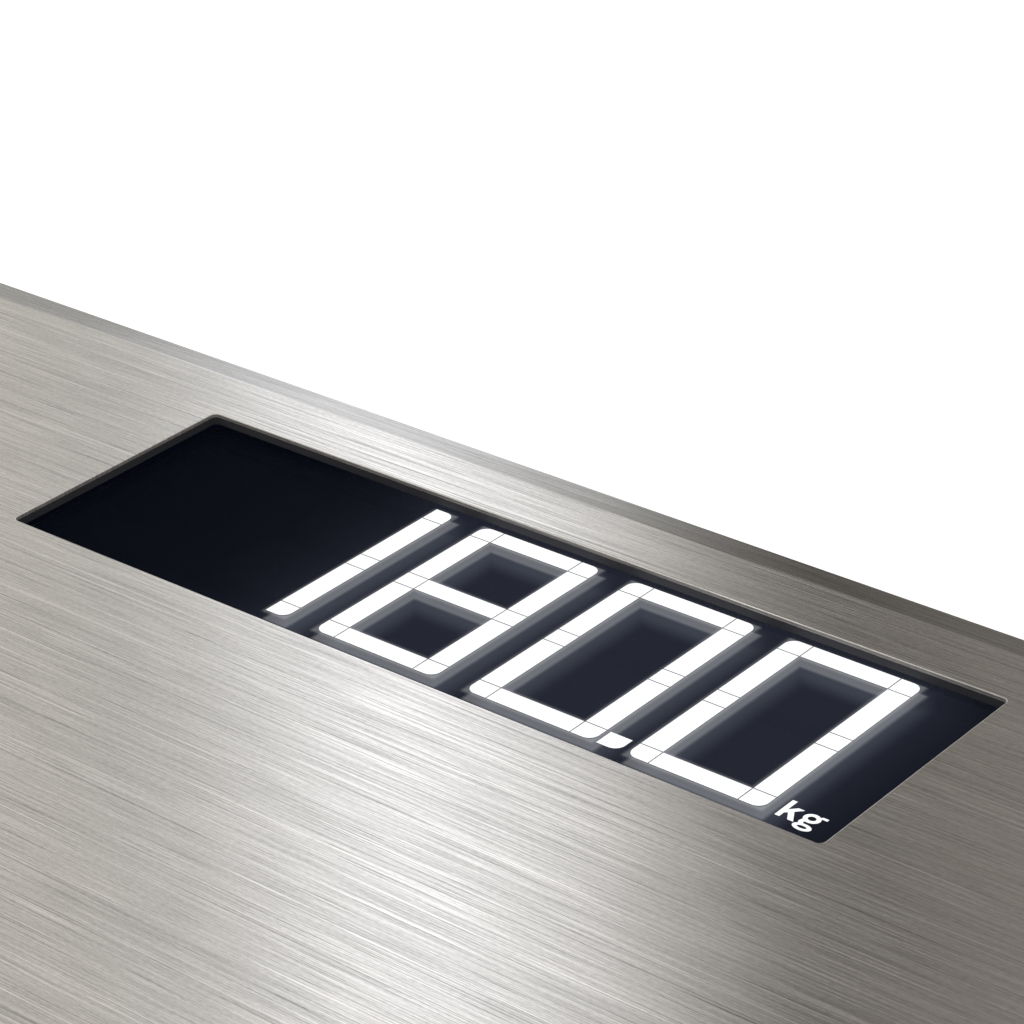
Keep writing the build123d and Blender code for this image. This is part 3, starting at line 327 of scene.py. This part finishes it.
def dark_segment():
    """An unlit segment: what is behind it shows through, a little darker."""
    tree, shader, place = shader_for("dark_segment")
    soft = tree.noise(tree.stretched(place, (9 * MM,) * 3), detail=1.0)
    colour = tree.mix(soft, (0.010, 0.011, 0.018), (0.014, 0.015, 0.024))
    tree.set(shader.inputs["Base Color"], colour)
    tree.set(shader.inputs["Alpha"], 0.02)
    tree.set(shader.inputs["Roughness"], 0.5)
    tree.set(shader.inputs["Specular IOR Level"], 0.0)


def clear_acrylic():
    """The light guide: half see-through, with a faint clouding."""
    tree, shader, place = shader_for("clear_acrylic")
    cloud = tree.noise(tree.stretched(place, (25 * MM,) * 3), detail=1.0)
    tone = tree.ramp_between(cloud, 0.3, 0.7, 0.95, 1.05)
    tree.set(shader.inputs["Base Color"], tree.tinted((0.86, 0.88, 0.89), tone))
    tree.set(shader.inputs["Alpha"], 0.45)
    tree.set(shader.inputs["Roughness"], 0.08)


# ------------------------------------------------------------------- parts with pattern
def battery_sleeve():
    """A plain dark sleeve with a copper band at its positive end and bare steel ends."""
    tree, shader, place = shader_for("battery_sleeve")
    x, y, _ = tree.add("SeparateXYZ", {"Vector": place}).outputs
    # the middle cell lies the other way round
    low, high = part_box("battery_2")
    turned = tree.math("GREATER_THAN", y, low[1])
    turned = tree.math("MULTIPLY", turned, tree.math("LESS_THAN", y, high[1]))
    facing = tree.ramp_between(turned, 0.0, 1.0, 1.0, -1.0, smooth=False)
    band = tree.math("GREATER_THAN", tree.math("MULTIPLY", x, facing), 12 * MM)
    bare = tree.math("GREATER_THAN", tree.math("ABSOLUTE", x), 21.6 * MM)
    scuff = tree.noise(tree.stretched(place, (6 * MM, 1.5 * MM, 1.5 * MM)), detail=2.0)
    colour = tree.mix(band, (0.018, 0.022, 0.030), (0.52, 0.22, 0.09))
    colour = tree.mix(bare, colour, (0.62, 0.61, 0.59))
    scuffed = tree.ramp_between(scuff, 0.3, 0.7, 0.0, 0.06)
    tree.set(shader.inputs["Base Color"], tree.mix(scuffed, colour, (0.5, 0.5, 0.5)))
    tree.set(shader.inputs["Metallic"], tree.math("MAXIMUM", tree.math("MULTIPLY", band, 0.7), bare))
    tree.set(shader.inputs["Roughness"], tree.ramp_between(scuff, 0.3, 0.7, 0.24, 0.34))


def circuit_board():
    """Green solder mask over faint copper tracks."""
    tree, shader, place = shader_for("circuit_board")
    tracks = tree.add("TexWave", {"Vector": place, "Scale": 160.0, "Distortion": 3.0, "Detail": 1.0})
    track = tree.ramp_between(tracks.outputs[1], 0.55, 0.7)
    cloud = tree.noise(tree.stretched(place, (20 * MM,) * 3))
    colour = tree.mix(track, (0.012, 0.085, 0.035), (0.025, 0.150, 0.060))
    clouded = tree.math("MULTIPLY", cloud, 0.2)
    tree.set(shader.inputs["Base Color"], tree.mix(clouded, colour, (0.01, 0.06, 0.03)))
    tree.set(shader.inputs["Roughness"], tree.ramp_between(cloud, 0.3, 0.7, 0.28, 0.4))
    tree.set(shader.inputs["Normal"], tree.bump(track, 0.02 * MM))


def paint_all():
    brushed_steel()
    display_black()
    lit_segment()
    dark_segment()
    border_seal()
    display_glass()
    clear_acrylic()
    battery_sleeve()
    circuit_board()
    bezel_black = (0.044, 0.044, 0.051)
    moulded("black_plastic", bezel_black, 0.5, grain=0.25 * MM, depth=0.006 * MM, specular=0.2)
    moulded("chassis_plastic", (0.062, 0.064, 0.068), 0.52, grain=0.5 * MM, depth=0.02 * MM)
    moulded("carrier_plastic", (0.14, 0.14, 0.147), 0.5)
    foam = (0.035, 0.035, 0.035)
    moulded("adhesive_foam", foam, 0.85, grain=0.4 * MM, depth=0.03 * MM, specular=0.2)
    moulded("tray_white", (0.80, 0.80, 0.78), 0.45)
    moulded("led_chip", (0.80, 0.74, 0.42), 0.3)
    moulded("chip_black", (0.02, 0.02, 0.022), 0.45, depth=0.006 * MM)
    moulded("connector_white", (0.78, 0.77, 0.72), 0.45)
    moulded("ribbon_grey", (0.45, 0.46, 0.48), 0.45, grain=1.2 * MM)
    moulded("cable_black", (0.02, 0.02, 0.02), 0.5)
    moulded("lead_red", (0.55, 0.03, 0.02), 0.45)
    moulded("gauge_coat", (0.82, 0.82, 0.80), 0.4, grain=1.5 * MM, depth=0.05 * MM)
    moulded("foot_plastic", (0.030, 0.031, 0.034), 0.45, grain=0.4 * MM, depth=0.012 * MM)
    rubber = (0.040, 0.040, 0.042)
    moulded("foot_rubber", rubber, 0.8, grain=0.3 * MM, depth=0.02 * MM, specular=0.25)
    moulded("button_plastic", (0.30, 0.31, 0.32), 0.36, grain=0.3 * MM, depth=0.006 * MM)
    moulded("switch_plastic", (0.05, 0.05, 0.05), 0.5)
    moulded("label_film", (0.60, 0.61, 0.62), 0.34, grain=2.5 * MM, depth=0.006 * MM)
    plated("cell_steel", (0.60, 0.60, 0.61), 0.3)
    plated("spring_steel", (0.52, 0.52, 0.53), 0.34)
    plated("screw_steel", (0.46, 0.47, 0.48), 0.32, grain=(0.6 * MM,) * 3)
    plated("contact_nickel", (0.66, 0.64, 0.60), 0.26)


paint_all()


# ------------------------------------------------------------------------ floor, light
VIEW_AZIMUTH = radians(40.471)
VIEW_ELEVATION = radians(28.073)
VIEW_ROLL = radians(-2.094)
LENS = 124.36
TARGET = Vector((-11.78, 137.29, 22.0)) * MM
DISTANCE = 428.9 * MM
FLOOR_REACH = 14.0
FLOOR_LEVEL = -0.2 * MM


def lay_floor():
    """A wide pale floor, just under the feet. It isn't mirrored in the steel."""
    paint = bpy.data.materials.new("floor_paint")
    tree = Tree(paint)
    look = {
        "Base Color": (0.82, 0.82, 0.82),
        "Roughness": 0.9,
        "Specular IOR Level": 0.0,
        "Emission Color": (1.0, 1.0, 1.0),
        "Emission Strength": 0.45,
    }
    shader = tree.add("BsdfPrincipled", look)
    output = tree.add("OutputMaterial")
    tree.set(output.inputs["Surface"], shader.outputs[0])
    mesh = bpy.data.meshes.new("floor")
    ends = [(-1, -1), (1, -1), (1, 1), (-1, 1)]
    corners = [(x * FLOOR_REACH, y * FLOOR_REACH, FLOOR_LEVEL) for x, y in ends]
    mesh.from_pydata(corners, [], [(0, 1, 2, 3)])
    mesh.materials.append(paint)
    floor = bpy.data.objects.new("floor", mesh)
    bpy.context.scene.collection.objects.link(floor)
    floor.visible_glossy = False


lay_floor()

# The strokes light their own window, and aren't mirrored in the steel's cut edge.
for name in ("segments_lit", "decimal_point", "unit_icon_kg"):
    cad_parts[name].visible_glossy = False

# The studio is a ring of soft panels: (degrees right of the view's axis, colour). A
# bright panel stands a little to the left, and a gap beside it leaves the steel dark.
PANELS = [
    (-180, (0.70, 0.70, 0.69)),
    (-90, (0.66, 0.66, 0.65)),
    (-30, (0.69, 0.69, 0.68)),
    (-12, (0.69, 0.69, 0.67)),
    (-9, (0.72, 0.72, 0.69)),
    (-7.4, (0.56, 0.56, 0.55)),
    (-6, (0.62, 0.63, 0.63)),
    (-4.6, (1.10, 1.13, 1.19)),
    (-3, (1.58, 1.63, 1.73)),
    (-1.5, (1.58, 1.63, 1.73)),
    (0, (1.26, 1.30, 1.37)),
    (1.6, (1.04, 1.06, 1.08)),
    (3.1, (0.42, 0.41, 0.40)),
    (4.6, (0.168, 0.160, 0.150)),
    (6.2, (0.088, 0.083, 0.076)),
    (7.7, (0.250, 0.238, 0.220)),
    (9.2, (0.305, 0.290, 0.270)),
    (11, (0.27, 0.26, 0.25)),
    (20, (0.30, 0.30, 0.30)),
    (50, (0.62, 0.62, 0.62)),
    (90, (0.74, 0.74, 0.74)),
    (180, (0.70, 0.70, 0.69)),
]


def light_studio():
    world = bpy.context.scene.world or bpy.data.worlds.new("studio")
    bpy.context.scene.world = world
    tree = Tree(world)
    direction = tree.add("TexCoord").outputs["Generated"]
    x, y, z = tree.add("SeparateXYZ", {"Vector": direction}).outputs
    ahead = (-sin(VIEW_AZIMUTH), cos(VIEW_AZIMUTH))
    right = (cos(VIEW_AZIMUTH), sin(VIEW_AZIMUTH))

    def part_along(axis):
        return tree.math("ADD", tree.math("MULTIPLY", x, axis[0]), tree.math("MULTIPLY", y, axis[1]))

    forward = part_along(ahead)
    sideways = part_along(right)
    turn = tree.math("ARCTAN2", sideways, forward)
    # the panels lean, so near the floor they stand further to the right
    lean = tree.ramp_between(z, 0.06, 0.42, radians(5.2), 0.0, smooth=False)
    turn = tree.math("SUBTRACT", turn, lean)
    share = tree.ramp_between(turn, -pi, pi, smooth=False)
    stops = [((angle + 180) / 360, colour) for angle, colour in PANELS]
    ring = tree.ramp(share, stops)
    # overhead, the panels give way to one even ceiling
    up = tree.ramp_between(z, 0.62, 0.90)
    low = tree.ramp_between(z, 0.10, 0.34, 0.64, 1.0)
    colour = tree.mix(up, tree.tinted(ring, low), (0.80, 0.80, 0.80))
    seen = tree.add("LightPath").outputs["Is Camera Ray"]
    colour = tree.mix(seen, colour, (1.0, 1.0, 1.0))
    background = tree.add("Background", {"Color": colour, "Strength": 1.0})
    output = tree.add("OutputWorld")
    tree.set(output.inputs["Surface"], background.outputs[0])


light_studio()


def area_light(name, place, aim, size, power):
    light = bpy.data.lights.new(name, "AREA")
    light.shape = "SQUARE"
    light.size = size
    light.energy = power
    lamp = bpy.data.objects.new(name, light)
    lamp.location = place
    lamp.rotation_mode = "QUATERNION"
    lamp.rotation_quaternion = (Vector(aim) - Vector(place)).to_track_quat("-Z", "Y")
    bpy.context.scene.collection.objects.link(lamp)


area_light("soft_key", (-0.9, -1.0, 1.6), (0, 0, 0), 2.4, 9.0)


# ------------------------------------------------------------------------------ camera
def place_camera():
    data = bpy.data.cameras.new("camera")
    data.sensor_width = 36
    data.lens = LENS
    data.clip_start = 0.01
    data.clip_end = 50
    camera = bpy.data.objects.new("camera", data)
    bpy.context.scene.collection.objects.link(camera)
    a, e, roll = VIEW_AZIMUTH, VIEW_ELEVATION, VIEW_ROLL
    back = Vector((sin(a) * cos(e), -cos(a) * cos(e), sin(e)))
    right = Vector((cos(a), sin(a), 0))
    up = back.cross(right)
    rolled_right = cos(roll) * right + sin(roll) * up
    rolled_up = cos(roll) * up - sin(roll) * right
    turned = Matrix((rolled_right, rolled_up, back)).transposed()
    camera.matrix_world = Matrix.Translation(TARGET + DISTANCE * back) @ turned.to_4x4()
    bpy.context.scene.camera = camera


place_camera()

bpy.context.scene.view_settings.view_transform = "Standard"
bpy.context.scene.view_settings.look = "None"
